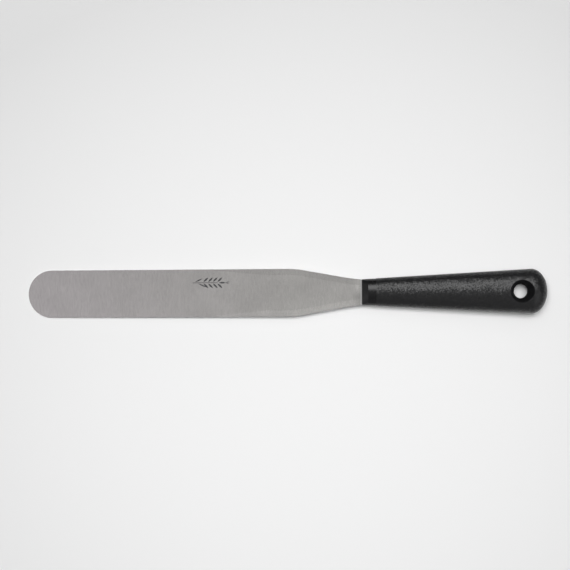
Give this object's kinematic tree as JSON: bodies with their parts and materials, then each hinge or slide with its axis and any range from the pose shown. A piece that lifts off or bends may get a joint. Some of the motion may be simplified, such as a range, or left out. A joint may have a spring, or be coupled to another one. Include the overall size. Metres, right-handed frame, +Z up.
{
  "type": "straight icing spatula",
  "caption": "Long round-tipped steel spreading blade with bevelled edges and a tapering neck, moulded into a black plastic handle that widens to a funnel-shaped hanging hole.",
  "frame": {"origin": "on the table, under the middle of the tool's length and width", "axes": "the spatula lies flat as it rests by itself: -X towards the blade's tip, +X towards the handle's end, +Z up; the blade's plane rises 1.5 degrees towards the handle"},
  "size_m": [0.388, 0.0356, 0.0208],
  "materials": {
    "blade_steel": "fine-ground, lines across the blade",
    "handle_plastic": "fine-grained black polypropylene with a smooth collar and nose"
  },
  "bodies": {
    "root": {"blade": "blade_steel", "handle": "handle_plastic"}
  },
  "joints": []
}
